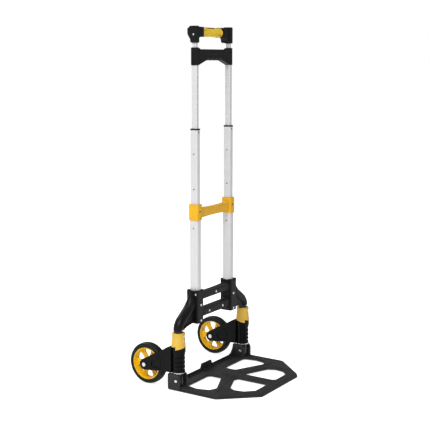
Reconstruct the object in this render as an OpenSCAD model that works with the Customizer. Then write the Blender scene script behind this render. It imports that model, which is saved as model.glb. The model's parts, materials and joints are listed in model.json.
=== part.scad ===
// Folding hand truck: a telescopic mast of two aluminium tubes over a moulded base bracket,
// two steel legs, a fold-down toe plate, and two wheel forks that swing in as the plate folds.
// Seen from the front, +X is to the right, +Y points back to the wheels and +Z is up.
// Lengths in millimetres.

/* [Mast] */
// Distance from the middle to each mast tube
mast_x = 92.4; // [88:0.1:96]
// Height of the top of the outer tubes
outer_top = 549; // [520:1:560]
// Height of the top of the middle tubes
middle_top = 775; // [740:1:790]
// Underside of the lower grip's sockets
lower_grip_z = 966; // [950:1:980]
// Underside of the upper grip's sockets
upper_grip_z = 1032; // [1028:1:1050]

/* [Legs] */
// Distance from the middle to each leg
leg_x = 184; // [182:0.5:188]
// Outer radius of the leg tube
leg_r = 14; // [13:0.5:14.5]
// Wall of the leg tube
leg_wall = 1.6; // [1.2:0.1:2]
// Angle of the leg's bend from upright
bend_angle = 59; // [54:1:62]
// Radius of the leg's bend
bend_r = 32; // [30:1:36]

/* [Wheels] */
// Wheel diameter over the tyre
wheel_d = 127; // [120:1:128]
// Tyre width
tyre_w = 28; // [26:1:29]
// Distance from the leg to the axle
axle_y = 111.7; // [110:0.1:116]
// Axle diameter
axle_d = 8; // [7:0.5:9]

/* [Toe plate] */
// Half width of the toe plate
plate_x = 204; // [200:1:206]
// Reach of the toe plate in front of the legs
plate_reach = 248; // [240:1:256]
// Height of the toe plate's top face
plate_top = 11; // [10:0.5:11.5]
// Height of the fold pivot
pivot_z = 31; // [30:0.5:32]

/* [Hidden] */
$fn = 64;

// Clearances
fit = 0.05;          // radial gap of a shaft in its hole
gap = 0.3;           // gap between curved faces that move past each other

// Colours
black_plastic = [0.055, 0.055, 0.06];
dark_grey = [0.16, 0.16, 0.17];
leg_black = [0.03, 0.03, 0.035];
silver = [0.86, 0.87, 0.88];
zinc = [0.75, 0.76, 0.78];
yellow = [0.95, 0.72, 0.14];
pale_yellow = [0.97, 0.8, 0.33];
amber = [0.97, 0.7, 0.02];
rubber_black = [0.09, 0.09, 0.1];

// Mast tube sections: width across, depth, wall, corner radius
outer_size = [22, 30, 1.6, 5];
middle_size = [17.5, 25, 1.4, 4];
inner_size = [12.5, 19, 1.2, 3];
top_size = [9, 15, 1, 2.5];
outer_bottom = 190;
middle_bottom = 420;
inner_bottom = 680;
top_bottom = 725;
middle_lock_z = 478.5;
inner_lock_z = 703;
spare_hole_z = 597;
top_end = 1060;

// Base bracket
socket_w = 34;
socket_d = 41.2;
bracket_top = 288;
bracket_bottom = 187;
bar_front = -15;
bar_back = 8;
bar_end = mast_x + 2.6 - socket_w / 2 + 2;
top_bar = [257, 277];
low_bar = [203, 227];
bar_sag = 3;
web_t = 18;
fin_t = 17;
shoulder_r = leg_r + 2.5;
shoulder_from = 16;
shoulder_to = 58;

// Leg bend, in the plane Y = 0
knee_z = 188;
bend_centre_x = leg_x - bend_r;
bend_x = bend_centre_x + bend_r * cos(bend_angle);
bend_z = knee_z + bend_r * sin(bend_angle);
slant_len = 42;
bend_steps = 6;
bend_lap = 2;
bend_inset = 0.05;
leg_sides = 20;
leg_bottom = 16;

// Crossbar
crossbar_z = [503, 552];
crossbar_rivet_z = 530;
crossbar_socket = [26, 34];

bushing_rivet_z = 768;

// Grips
grip_socket = [18, 20.6];
lower_grip_top = 1018;
lower_screw_z = 992;
upper_grip_top = 1081;
grip_axis = [8.5, 1063];
grip_r = 14;
sleeve_half = 53;
grip_core_r = 10.5;
grip_screw_z = 1056;
channel_w = 5;
channel_z = [1054.5, 1065];
button_size = [44, 12];
button_z = [1071, 1077];
link_z = [1061, 1063];

// Toe plate
ear_inner = leg_r + 1;
ear_outer = leg_r + 9;
pivot_y = -5;
ear_front_r = 18.3;
ear_centre = [pivot_y + 4.8, pivot_z + 2.7];
ear_front = pivot_y - 13.5;
ear_top = ear_centre.y + ear_front_r;
rear_edge = 25;
side_front = -144;
front_corner_x = 110;
web_bottom = 5;
pin_r = 4;

// Wheel fork
axle_z = wheel_d / 2;
washer_z = [ear_top, ear_top + 2.5];
washer_r = 20;
sleeve_z = washer_z.y;
fork_half = 24;
boss_r = 17;
collar_top = 175;
cam_low = 125;
cam_rise = 10;
cam_starts = 3;
cam_steps = 8;
sleeve_r = 20;
collar_low_r = 21.5;
collar_top_r = 18.7;
cam_turn = -8;       // direction of the first cam step, from +X
step_gap = 0.6;      // gap at the cam steps, in degrees

// ---- helpers ----

function turned(a) = a > 180 ? a - 360 : a < -180 ? a + 360 : a;
function unit(v) = v / norm(v);

// Points of the arc that rounds corner b between its neighbours a and c
function corner_arc(a, b, c, r, steps) =
    let (
        u = unit(a - b),
        v = unit(c - b),
        half = acos(u * v) / 2,
        centre = b + unit(u + v) * r / sin(half),
        p = b + u * r / tan(half) - centre,
        q = b + v * r / tan(half) - centre,
        start = atan2(p.y, p.x),
        sweep = turned(atan2(q.y, q.x) - start)
    )
    [for (i = [0:steps]) centre + r * [cos(start + sweep * i / steps), sin(start + sweep * i / steps)]];

function flat(p) = [p.x, p.y];

// An outline from corners given as [x, y, radius]
function rounded(corners, steps = 5) =
    let (n = len(corners))
    [for (i = [0:n - 1])
        each corners[i].z == 0 ? [flat(corners[i])] :
            corner_arc(flat(corners[(i + n - 1) % n]), flat(corners[i]),
                       flat(corners[(i + 1) % n]), corners[i].z, steps)];

// A flat profile in X and Z, from one Y to another
module along_y(from, to) {
    translate([0, to, 0]) rotate([90, 0, 0]) linear_extrude(to - from) children();
}

// A flat profile in Y and Z, from one X to another
module along_x(from, to) {
    translate([from, 0, 0]) rotate([90, 0, 90]) linear_extrude(to - from) children();
}

module round_rect(w, d, r) {
    union() {
        square([w - 2 * r, d], center = true);
        square([w, d - 2 * r], center = true);
        for (sx = [-1, 1], sy = [-1, 1])
            translate([sx * (w / 2 - r), sy * (d / 2 - r)]) circle(r);
    }
}

module both_sides() {
    children();
    mirror([1, 0, 0]) children();
}

// A rectangular mast tube on its axis
module mast_tube(size, from, to) {
    translate([0, 0, from]) linear_extrude(to - from) difference() {
        round_rect(size[0], size[1], size[3]);
        round_rect(size[0] - 2 * size[2], size[1] - 2 * size[2], size[3] - size[2]);
    }
}

// The outside of a mast tube with a clearance all round
module tube_space(size, from, to, clear = fit) {
    translate([0, 0, from]) linear_extrude(to - from)
        round_rect(size[0] + 2 * clear, size[1] + 2 * clear, size[3] + clear);
}

// A domed head with its shank, pointing along +Z into the part from z = 0
module rivet(head_r, head_h, shank_r, shank_len) {
    rotate_extrude() polygon(concat(
        [[0, shank_len], [shank_r, shank_len], [shank_r, 0], [head_r, 0], [head_r, -head_h * 0.35]],
        [for (i = [1:4]) let (a = 90 * i / 4)
            [head_r * cos(a), -head_h * (0.35 + 0.65 * sin(a))]]
    ));
}

// Into the part from its front, from its back, and from its -X or +X side
module from_front(p) { translate(p) rotate([-90, 0, 0]) children(); }
module from_back(p) { translate(p) rotate([90, 0, 0]) children(); }
module from_left(p) { translate(p) rotate([0, 90, 0]) children(); }
module from_right(p) { translate(p) rotate([0, -90, 0]) children(); }

// A solid through rings of points, each ring a convex outline turning left about the path
module loft(rings) {
    n = len(rings[0]);
    last = len(rings) - 1;
    polyhedron(
        points = [for (ring = rings) each ring],
        faces = concat(
            [[for (j = [0:n - 1]) j]],
            [for (k = [0:last - 1], j = [0:n - 1])
                [k * n + j, (k + 1) * n + j, (k + 1) * n + (j + 1) % n, k * n + (j + 1) % n]],
            [[for (j = [n - 1:-1:0]) last * n + j]]
        )
    );
}

// A ring about the leg's bend on the +X side, at angle a and a run beyond it
function leg_ring(outline, a, run) =
    [for (p = outline) [
        bend_centre_x + (bend_r + p.x) * cos(a) - run * sin(a),
        p.y,
        knee_z + (bend_r + p.x) * sin(a) + run * cos(a)
    ]];

// The leg's bend and its slanting end, as a bar of the given outline that reaches a little
// into the straight part
module leg_bend(outline, extra = 0) {
    loft(concat(
        [leg_ring(outline, 0, -bend_lap - extra)],
        [for (i = [0:bend_steps]) leg_ring(outline, bend_angle * i / bend_steps, 0)],
        [leg_ring(outline, bend_angle, slant_len + extra)]
    ));
}

function disc(r) = [for (i = [0:leg_sides - 1]) r * [cos(360 * i / leg_sides), sin(360 * i / leg_sides)]];

// ---- base bracket ----

screw_head_r = 4;
screw_head_h = 1.8;
screw_shank_r = 2;
boss_r_bar = 4.5;
socket_x = mast_x + 2.6;
socket_face = -socket_d / 2;
bar_screws = [[-38, 214], [38, 214], [0, 267]];
socket_screw_z = [195, 243];
side_screw = [-12.8, 277.6];
leg_screw_z = 183;

// A flat outline in X and Z on one side of the seam, out to a depth
module on_side(side, depth) {
    along_y(side > 0 ? 0 : -depth, side > 0 ? depth : 0) children();
}

// Half of a flat shape, on one side of the seam
module half_plane(side) {
    intersection() {
        children();
        translate([-50, side > 0 ? 0 : -50]) square([100, 50]);
    }
}

// The bracket's web between socket and leg, which follows the inside of the bend
module web_outline() {
    u = bend_r - leg_r - gap;
    polygon(concat(
        [[100, 194], [100, 250]],
        [[bend_centre_x + u * cos(bend_angle) - 30 * sin(bend_angle),
          knee_z + u * sin(bend_angle) + 30 * cos(bend_angle)]],
        [for (i = [0:6]) let (a = bend_angle * (1 - i / 6))
            [bend_centre_x + u * cos(a), knee_z + u * sin(a)]],
        [[bend_centre_x + u, 184], [164, 187], [154, 189.5], [140, 191.5]]
    ));
}

module bracket_bar(z, sag) {
    steps = 12;
    polygon(concat(
        [[-bar_end, z[0]], [bar_end, z[0]]],
        [for (i = [0:steps]) let (x = bar_end * (1 - 2 * i / steps)) [x, z[1] + sag * pow(x / bar_end, 2)]]
    ));
}

// The round shoulder that holds the leg's slanting end
module shoulder(from, to) {
    translate([bend_x, 0, bend_z]) rotate([0, -bend_angle, 0]) translate([0, 0, from])
        linear_extrude(to - from) children();
}

module bracket_wing(side) {
    difference() {
        union() {
            shoulder(shoulder_from, shoulder_to) half_plane(side) circle(shoulder_r);
            on_side(side, web_t / 2) web_outline();
            on_side(side, fin_t / 2) polygon([
                [100, 240], [132, 240], [126, 256], [121, 270], [116, bracket_top - 4],
                [100, bracket_top - 4]
            ]);
            translate([socket_x, 0, bracket_bottom]) linear_extrude(bracket_top - bracket_bottom)
                half_plane(side) round_rect(socket_w, socket_d, 4);
        }
        shoulder(shoulder_from - 1, slant_len + gap) circle(leg_r + fit);
        translate([mast_x, 0, 0]) tube_space(outer_size, outer_bottom, bracket_top + 1);
        if (side < 0) {
            for (z = socket_screw_z) translate([mast_x + 0.6, socket_face, z]) rotate([90, 0, 0])
                cylinder(r = screw_shank_r + fit, h = 16, center = true);
            translate([socket_x + socket_w / 2, side_screw.x, side_screw.y]) rotate([0, 90, 0])
                cylinder(r = screw_shank_r + fit, h = 12, center = true);
        }
    }
}

// The two bars between the sockets, hollow around their screw bosses
module bracket_bars(side) {
    depth = side > 0 ? bar_back : -bar_front;
    reach = mast_x - outer_size[0] / 2 - 2;
    difference() {
        on_side(side, depth) union() {
            bracket_bar(top_bar, bar_sag);
            bracket_bar(low_bar, 0);
        }
        difference() {
            for (z = [top_bar, low_bar])
                translate([-reach + 12, -depth + 3, z[0] + 3])
                    cube([2 * reach - 24, 2 * depth - 6, z[1] - z[0] - 6]);
            for (p = bar_screws) translate([p.x, 0, p.y]) rotate([90, 0, 0])
                cylinder(r = boss_r_bar, h = 60, center = true);
        }
        for (p = bar_screws) translate([p.x, 0, p.y]) rotate([90, 0, 0])
            cylinder(r = screw_shank_r + fit, h = 2 * (side > 0 ? 5 : 20), center = true);
    }
}

// One half of the bracket: side -1 is the front, +1 the back
module bracket_half(side) {
    union() {
        both_sides() bracket_wing(side);
        bracket_bars(side);
    }
}

module base_bracket_front() { color(black_plastic) bracket_half(-1); }
module base_bracket_rear() { color(black_plastic) bracket_half(1); }

module bracket_screws() {
    color(silver) {
        both_sides() {
            for (z = socket_screw_z) from_front([mast_x + 0.6, socket_face, z])
                rivet(screw_head_r, screw_head_h, screw_shank_r, 7.2);
            from_right([socket_x + socket_w / 2, side_screw.x, side_screw.y])
                rivet(screw_head_r, screw_head_h, screw_shank_r, 5.5);
            from_front([leg_x, -leg_r, leg_screw_z])
                rivet(screw_head_r - 0.6, screw_head_h, screw_shank_r, 3);
        }
        for (p = bar_screws) from_front([p.x, bar_front, p.y])
            rivet(screw_head_r, screw_head_h, screw_shank_r, 19.5);
    }
}

// ---- legs ----

module leg_tube() {
    union() {
        difference() {
            translate([leg_x, 0, leg_bottom]) cylinder(r = leg_r, h = knee_z - leg_bottom);
            translate([leg_x, 0, leg_bottom - 1]) cylinder(r = leg_r - leg_wall, h = knee_z);
            translate([leg_x, pivot_y, pivot_z]) rotate([0, 90, 0])
                cylinder(r = pin_r + fit, h = 3 * leg_r, center = true);
            translate([leg_x, -leg_r, leg_screw_z]) rotate([90, 0, 0])
                cylinder(r = screw_shank_r + fit, h = 8, center = true);
        }
        difference() {
            leg_bend(disc(leg_r - bend_inset));
            leg_bend(disc(leg_r - leg_wall + 4 * bend_inset), 1);
        }
    }
}

module right_leg_tube() { color(leg_black) leg_tube(); }
module left_leg_tube() { color(leg_black) mirror([1, 0, 0]) leg_tube(); }

plug_h = 10;
module foot_plug() {
    translate([leg_x, 0, leg_bottom]) difference() {
        cylinder(r = leg_r - leg_wall - fit, h = plug_h);
        translate([0, pivot_y, pivot_z - leg_bottom]) rotate([0, 90, 0])
            cylinder(r = pin_r + 1, h = 3 * leg_r, center = true);
        translate([0, 0, 2.5]) cylinder(r = leg_r - leg_wall - 3, h = plug_h);
    }
}

module right_foot_plug() { color(black_plastic) foot_plug(); }
module left_foot_plug() { color(black_plastic) mirror([1, 0, 0]) foot_plug(); }

// A pin through both ears and the leg, with a domed head at its outer end
module pivot_pin() {
    half = ear_outer;
    translate([leg_x, pivot_y, pivot_z]) {
        rotate([0, 90, 0]) cylinder(r = pin_r, h = 2 * half, center = true);
        for (s = [-1, 1]) rotate([0, s * 90, 0]) translate([0, 0, half]) rotate([180, 0, 0])
            rivet(4.8, 1.8, 1, 1);
    }
}

module right_pivot_pin() { color(silver) pivot_pin(); }
module left_pivot_pin() { color(silver) mirror([1, 0, 0]) pivot_pin(); }

// Ramps between the cam surface and a level face below or above it, one per start.
// Each ramp rises by cam_rise over its share of a turn.
module cam_ramps(level, clear, turn = 0) {
    share = 360 / cam_starts;
    inner = leg_r - 2;
    outer = collar_low_r + 4;
    for (k = [0:cam_starts - 1]) loft([
        for (i = [0:cam_steps])
            let (
                a = cam_turn + turn - share * (k + i / cam_steps),
                z = cam_low + cam_rise * i / cam_steps + clear,
                low = min(z, level),
                high = max(z, level)
            )
            [for (p = [[outer, low], [outer, high], [inner, high], [inner, low]])
                [p[0] * cos(a), p[0] * sin(a), p[1]]]
    ]);
}

collar_screw_z = [150, 165];
collar_cone_z = [cam_low + 12, collar_top - 3];

// The collar's outer radius at a height on its cone
function collar_radius(z) = collar_low_r
    + (collar_top_r - collar_low_r) * (z - collar_cone_z[0]) / (collar_cone_z[1] - collar_cone_z[0]);

module cam_collar() {
    translate([leg_x, 0, 0]) difference() {
        rotate_extrude() polygon([
            [leg_r + fit, cam_low], [collar_low_r, cam_low], [collar_low_r, collar_cone_z[0]],
            [collar_top_r, collar_cone_z[1]], [collar_top_r - 1, collar_top],
            [leg_r + fit, collar_top]
        ]);
        cam_ramps(cam_low - 5, 0);
        for (z = collar_screw_z) from_front([0, -30, z]) cylinder(r = 1.8 + fit, h = 20);
    }
}

module right_cam_collar() { color(pale_yellow) cam_collar(); }
module left_cam_collar() { color(pale_yellow) mirror([1, 0, 0]) cam_collar(); }

module collar_screws() {
    color(silver) both_sides() for (z = collar_screw_z)
        from_front([leg_x, -collar_radius(z - 3.4), z])
            rivet(3.4, 2.2, 1.8, collar_radius(z - 3.4) - leg_r - 0.2);
}

// ---- outer tubes and crossbar ----

lock_hole_r = 2.5;
module outer_tube() {
    translate([mast_x, 0, 0]) difference() {
        mast_tube(outer_size, outer_bottom, outer_top);
        translate([0, 0, middle_lock_z]) rotate([0, 90, 0])
            cylinder(r = lock_hole_r, h = 40, center = true);
        for (z = socket_screw_z) translate([0.6, -15, z]) rotate([90, 0, 0])
            cylinder(r = screw_shank_r + fit, h = 8, center = true);
        translate([0, -15, crossbar_rivet_z]) rotate([90, 0, 0]) cylinder(r = 1.6 + fit, h = 8, center = true);
    }
}

module right_outer_tube() { color(silver) outer_tube(); }
module left_outer_tube() { color(silver) mirror([1, 0, 0]) outer_tube(); }

module crossbar() {
    color(yellow) difference() {
        union() {
            both_sides() translate([mast_x, 0, crossbar_z[0]])
                linear_extrude(crossbar_z[1] - crossbar_z[0])
                    round_rect(crossbar_socket[0], crossbar_socket[1], 5);
            along_y(-11, 3) polygon(concat(
                [for (i = [0:8]) let (x = -mast_x + 10 + (mast_x - 10) * i / 4) [x, 511 - 3 * pow(x / 82, 2)]],
                [for (i = [0:8]) let (x = mast_x - 10 - (mast_x - 10) * i / 4) [x, 537 + 4 * pow(x / 82, 2)]]
            ));
        }
        both_sides() translate([mast_x, 0, 0]) {
            tube_space(outer_size, crossbar_z[0] - 1, outer_top);
            tube_space(middle_size, outer_top - 1, crossbar_z[1] + 1, gap);
            from_front([0, -20, crossbar_rivet_z]) cylinder(r = 1.6 + fit, h = 10);
        }
        along_y(-8.5, 4) polygon([[-76, 515], [76, 515], [76, 533], [-76, 533]]);
    }
}

module crossbar_rivets() {
    color(dark_grey) both_sides()
        from_front([mast_x, -crossbar_socket[1] / 2, crossbar_rivet_z]) rivet(2.8, 1, 1.6, 3.4);
}

// ---- middle stage ----

module middle_tube() {
    translate([mast_x, 0, 0]) difference() {
        mast_tube(middle_size, middle_bottom, middle_top);
        for (z = [middle_lock_z, spare_hole_z, inner_lock_z]) translate([0, 0, z]) rotate([0, 90, 0])
            cylinder(r = lock_hole_r, h = 40, center = true);
        translate([0, -12, bushing_rivet_z]) rotate([90, 0, 0]) cylinder(r = 1.4 + fit, h = 8, center = true);
    }
}

module right_middle_tube() { color(silver) middle_tube(); }
module left_middle_tube() { color(silver) mirror([1, 0, 0]) middle_tube(); }

bushing_gap = 0.15;
module middle_bushings() {
    color(black_plastic) both_sides() translate([mast_x, 0, 0]) difference() {
        union() {
            translate([0, 0, middle_top]) linear_extrude(4) round_rect(19.5, 27, 4.5);
            translate([0, 0, middle_top - 18]) linear_extrude(18.5)
                round_rect(middle_size[0] - 2.8 - 2 * fit, middle_size[1] - 2.8 - 2 * fit, 2.5);
        }
        tube_space(inner_size, middle_top - 20, middle_top + 5, bushing_gap);
        translate([0, -12, bushing_rivet_z]) rotate([90, 0, 0]) cylinder(r = 1.4 + fit, h = 8, center = true);
    }
}

module bushing_rivets() {
    color(dark_grey) both_sides()
        from_front([mast_x, -middle_size[1] / 2, bushing_rivet_z]) rivet(2.4, 0.9, 1.4, 2.2);
}

// A sprung lock unit inside the tube: a block with a flush pin to each side
module lock_unit(size, z, pin_reach, corner) {
    translate([0, 0, z]) {
        difference() {
            linear_extrude(24, center = true) round_rect(size[0], size[1], corner);
            cylinder(r = 2.6, h = 30, center = true);
            rotate([0, 90, 0]) cylinder(r = 2.1, h = 30, center = true);
        }
        for (s = [-1, 1]) rotate([0, s * 90, 0]) translate([0, 0, 2.7])
            cylinder(r = 2, h = pin_reach - 2.7);
    }
}

module middle_lock_pins() {
    color(zinc) both_sides() translate([mast_x, 0, 0])
        lock_unit([middle_size[0] - 3.2, middle_size[1] - 3.4], middle_lock_z,
                  middle_size[0] / 2 - 0.1, 2.4);
}

// ---- lower grip stage ----

module inner_tube() {
    translate([mast_x, 0, 0]) difference() {
        mast_tube(inner_size, inner_bottom, 1016);
        translate([0, 0, inner_lock_z]) rotate([0, 90, 0])
            cylinder(r = lock_hole_r, h = 40, center = true);
        translate([0, 9, lower_screw_z]) rotate([90, 0, 0]) cylinder(r = 1.5 + fit, h = 6, center = true);
    }
}

module right_inner_tube() { color(silver) inner_tube(); }
module left_inner_tube() { color(silver) mirror([1, 0, 0]) inner_tube(); }

// Finger waves under the lower grip, from one side's flare to the other's
wave_half = 44;
waves = 4;
module lower_grip_outline() {
    steps = 24;
    low = lower_grip_z;
    polygon(concat(
        [[-mast_x, lower_grip_top - 5], [-mast_x, low], [-86, low]],
        [for (i = [0:steps]) let (x = wave_half * (2 * i / steps - 1))
            [x, 983 - 2 * cos(360 * waves * (i / steps))]],
        [[86, low], [mast_x, low], [mast_x, lower_grip_top - 5]]
    ));
}

module lower_grip_body() {
    difference() {
        union() {
            both_sides() translate([mast_x, 0, lower_grip_z])
                linear_extrude(lower_grip_top - lower_grip_z)
                    round_rect(grip_socket[0], grip_socket[1], 3.5);
            along_y(-10, 10) lower_grip_outline();
        }
        both_sides() translate([mast_x, 0, 0]) {
            tube_space(inner_size, lower_grip_z - 1, 1016);
            tube_space(top_size, 1010, 1020, gap);
            from_back([0, 20, lower_screw_z]) cylinder(r = 1.5 + fit, h = 14);
        }
        along_y(-7, 7) polygon([[-74, 1010], [74, 1010], [60, 990], [-60, 990]]);
    }
}

module lower_grip_front() {
    color(black_plastic) intersection() {
        lower_grip_body();
        translate([-120, -30, 940]) cube([240, 30, 100]);
    }
}

module lower_grip_rear() {
    color(black_plastic) intersection() {
        lower_grip_body();
        translate([-120, 0, 940]) cube([240, 30, 100]);
    }
}

module lower_grip_screws() {
    color(silver) both_sides()
        from_back([mast_x, grip_socket[1] / 2, lower_screw_z]) rivet(2.8, 1, 1.5, 2.2);
}

module inner_lock_pins() {
    color(zinc) both_sides() translate([mast_x, 0, 0])
        lock_unit([inner_size[0] - 2.8, inner_size[1] - 2.8], inner_lock_z,
                  inner_size[0] / 2 - 0.1, 1.5);
}

// ---- upper grip stage ----

module top_tube() {
    translate([mast_x, 0, 0]) difference() {
        mast_tube(top_size, top_bottom, top_end);
        translate([0, 0, grip_screw_z]) rotate([0, 90, 0]) cylinder(r = 1.5 + fit, h = 10);
        translate([-5, 0, channel_z[0]]) cube([5 + channel_w / 2, 12, 20]);
    }
}

module right_top_tube() { color(silver) top_tube(); }
module left_top_tube() { color(silver) mirror([1, 0, 0]) top_tube(); }

module socket_side_outline() {
    polygon(rounded([
        [-10, upper_grip_z, 2], [10, upper_grip_z, 2], [11.5, 1040, 4], [22, 1057, 5],
        [22.3, 1073, 5], [12, upper_grip_top, 4], [-10, upper_grip_top, 3]
    ]));
}

arch_r = 15;
module upper_grip() {
    color(black_plastic) difference() {
        union() {
            both_sides() along_x(mast_x - 9, mast_x + 9) socket_side_outline();
            both_sides() intersection() {
                along_x(sleeve_half + fit, mast_x) polygon(rounded([
                    [-7.5, upper_grip_z, 3], [14, upper_grip_z, 3], [22.3, 1056, 4],
                    [22.3, 1072, 5], [14, upper_grip_top - 2, 5], [-7.5, upper_grip_top - 2, 5]
                ]));
                along_y(-40, 40) polygon(concat(
                    [[mast_x, 1100], [mast_x, upper_grip_z]],
                    [for (i = [0:6]) let (a = 90 * i / 6)
                        [68.4 + arch_r * cos(a), 1034 + arch_r * sin(a)]],
                    [[sleeve_half, 1049], [sleeve_half, 1100]]
                ));
            }
            translate([0, grip_axis.x, grip_axis.y]) rotate([0, 90, 0])
                cylinder(r = grip_core_r, h = 2 * sleeve_half + 4, center = true);
        }
        both_sides() translate([mast_x, 0, 0]) {
            tube_space(top_size, upper_grip_z - 1, top_end);
            from_right([12, 0, grip_screw_z]) cylinder(r = 1.5 + fit, h = 9);
            translate([-channel_w / 2, -channel_w / 2, channel_z[0]])
                cube([channel_w, grip_axis.x + channel_w, channel_z[1] - channel_z[0]]);
        }
        translate([-mast_x, grip_axis.x - channel_w / 2, channel_z[0]])
            cube([2 * mast_x, channel_w, channel_z[1] - channel_z[0]]);
        translate([-button_size.x / 2 - gap, grip_axis.x - button_size.y / 2 - gap, channel_z[0]])
            cube([button_size.x + 2 * gap, button_size.y + 2 * gap, 40]);
    }
}

module upper_grip_sleeve() {
    color(yellow) translate([0, grip_axis.x, grip_axis.y]) difference() {
        rotate([0, 90, 0]) union() {
            cylinder(r = grip_r - 1, h = 2 * sleeve_half, center = true);
            for (s = [-1, 1]) translate([0, 0, s * (sleeve_half - 2)])
                cylinder(r = grip_r, h = 4, center = true);
        }
        rotate([0, 90, 0]) cylinder(r = grip_core_r + fit, h = 3 * sleeve_half, center = true);
        translate([-button_size.x / 2 - gap, -button_size.y / 2 - gap, 0])
            cube([button_size.x + 2 * gap, button_size.y + 2 * gap, 40]);
    }
}

module upper_grip_screws() {
    color(silver) both_sides()
        from_right([mast_x + 9, 0, grip_screw_z]) rivet(2.9, 1.2, 1.5, 6.2);
}

module top_guides() {
    color(black_plastic) both_sides() translate([mast_x, 0, top_bottom - 6]) difference() {
        union() {
            linear_extrude(6) round_rect(inner_size[0] - 2.9, inner_size[1] - 2.9, 1.6);
            linear_extrude(16) round_rect(top_size[0] - 2.1, top_size[1] - 2.1, 1.4);
        }
        cylinder(r = 1.8, h = 60, center = true);
    }
}

// The button's cap, with a foot that stands on the two links
module release_button() {
    color(black_plastic) translate([0, grip_axis.x, 0]) union() {
        translate([-button_size.x / 2, -button_size.y / 2, button_z[0]])
            cube([button_size.x, button_size.y, button_z[1] - button_z[0]]);
        translate([-button_size.x / 2 + 2, -2, link_z[1]])
            cube([button_size.x - 4, 4, button_z[0] - link_z[1] + 1]);
    }
}

// A link under the button and a pull rod down each top tube
module release_rods() {
    t = link_z[1] - link_z[0];
    color(zinc) both_sides() {
        translate([mast_x, 0, top_bottom - 40]) cylinder(r = 1.5, h = link_z[1] - top_bottom + 40);
        translate([mast_x - 1.5, -1.5, link_z[0]]) cube([3, grip_axis.x + 3, t]);
        translate([3, grip_axis.x - 1.5, link_z[0]]) cube([mast_x - 1.5, 3, t]);
    }
}

// Two coil springs under the links, drawn as their outer tubes
spring_r = 2.3;
module release_spring() {
    color(zinc) both_sides() translate([12, grip_axis.x, channel_z[0]]) difference() {
        cylinder(r = spring_r, h = link_z[0] - channel_z[0]);
        translate([0, 0, -1]) cylinder(r = spring_r - 0.8, h = 20);
    }
}

// ---- toe plate ----

module plate_outline(inset = 0) {
    x = plate_x - inset;
    y = plate_reach - inset;
    polygon(rounded([
        [-x, rear_edge - inset, 5], [-x, side_front + inset * 0.4, 22],
        [-front_corner_x + inset * 0.5, -y, 14], [front_corner_x - inset * 0.5, -y, 14],
        [x, side_front + inset * 0.4, 22], [x, rear_edge - inset, 5]
    ]));
}

// The four openings of the plate: one rear and one front hole on each side
module plate_holes() {
    both_sides() {
        polygon(rounded([
            [42, -17, 14], [165, -17, 14], [174, -60, 40], [164, -97, 12], [138, -106, 8],
            [42, -62, 10]
        ]));
        polygon(rounded([
            [20, -110, 8], [36, -105, 8], [112, -137, 8], [124, -160, 12], [119, -190, 12],
            [94, -215, 10], [20, -215, 12]
        ]));
    }
}

module ear() {
    along_x(leg_x + ear_inner, leg_x + ear_outer) difference() {
        union() {
            polygon(concat(
                [[ear_front, 6], [ear_front, ear_centre.y]],
                [for (i = [0:10]) let (a = 180 - 90 * i / 10)
                    ear_centre + ear_front_r * [cos(a), sin(a)]],
                [[22, ear_top], [rear_edge, ear_top - 3], [rear_edge, 6]]
            ));
        }
        translate([pivot_y, pivot_z]) circle(pin_r + fit);
    }
}

module toe_plate() {
    color(dark_grey) difference() {
        union() {
            translate([0, 0, web_bottom]) linear_extrude(plate_top - web_bottom) plate_outline();
            linear_extrude(web_bottom + 1) difference() {
                plate_outline();
                plate_outline(6);
            }
            translate([-plate_x + 3, -3, 0]) cube([2 * plate_x - 6, rear_edge + 2, web_bottom + 1]);
            translate([-4, -plate_reach + 3, 1]) cube([8, plate_reach - 3, web_bottom]);
            both_sides() along_y(rear_edge - 5, rear_edge) polygon([
                [0, 8], [leg_x - ear_outer + 1, 8], [leg_x - ear_outer + 1, 19.5], [31, 19.5],
                [26, 33], [0, 33]
            ]);
            both_sides() {
                ear();
                translate([2 * leg_x, 0, 0]) mirror([1, 0, 0]) ear();
            }
        }
        translate([0, 0, -1]) linear_extrude(60) plate_holes();
    }
}

// ---- wheel fork, washer and wheel, on the +X side ----

module thrust_washer() {
    translate([leg_x, 0, washer_z[0]]) difference() {
        cylinder(r = washer_r, h = washer_z[1] - washer_z[0]);
        translate([0, 0, -1]) cylinder(r = leg_r + fit, h = 6);
    }
}

module right_thrust_washer() { color(zinc) thrust_washer(); }
module left_thrust_washer() { color(zinc) mirror([1, 0, 0]) thrust_washer(); }

wheel_gap = tyre_w / 2 + 3.5;
fork_block = [15, 42];
module fork_profile() {
    polygon(concat(
        [[14, 55], [22, 55], [49, 53], [axle_y - 3, axle_z - boss_r]],
        [for (i = [0:10]) let (a = -90 + 160 * i / 10)
            [axle_y, axle_z] + boss_r * [cos(a), sin(a)]],
        [[38, 124], [27, 131], [14, 131]]
    ));
}

module wheel_fork() {
    translate([leg_x, 0, 0]) difference() {
        union() {
            translate([0, 0, sleeve_z]) cylinder(r = sleeve_r, h = cam_low + cam_rise - gap - sleeve_z);
            translate([0, 0, 112]) cylinder(r = sleeve_r + 1, h = cam_low + cam_rise - gap - 112);
            difference() {
                along_x(-fork_half, fork_half) fork_profile();
                translate([-wheel_gap, fork_block[1], 0]) cube([2 * wheel_gap, 120, 160]);
                translate([0, 0, cam_low - 1]) cylinder(r = collar_low_r + 1, h = 20);
                for (s = [-1, 1]) translate([s * (fork_half + 0.5), 0, 0]) along_x(-2, 2)
                    polygon(rounded([[46, 61, 3], [85, 58, 7], [85, 76, 7], [46, 105, 3]]));
            }
        }
        cylinder(r = leg_r + 0.08, h = 200);
        cam_ramps(cam_low + cam_rise + 5, -gap, step_gap);
        translate([0, axle_y, axle_z]) rotate([0, 90, 0])
            cylinder(r = axle_d / 2 + fit, h = 80, center = true);
    }
}

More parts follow.
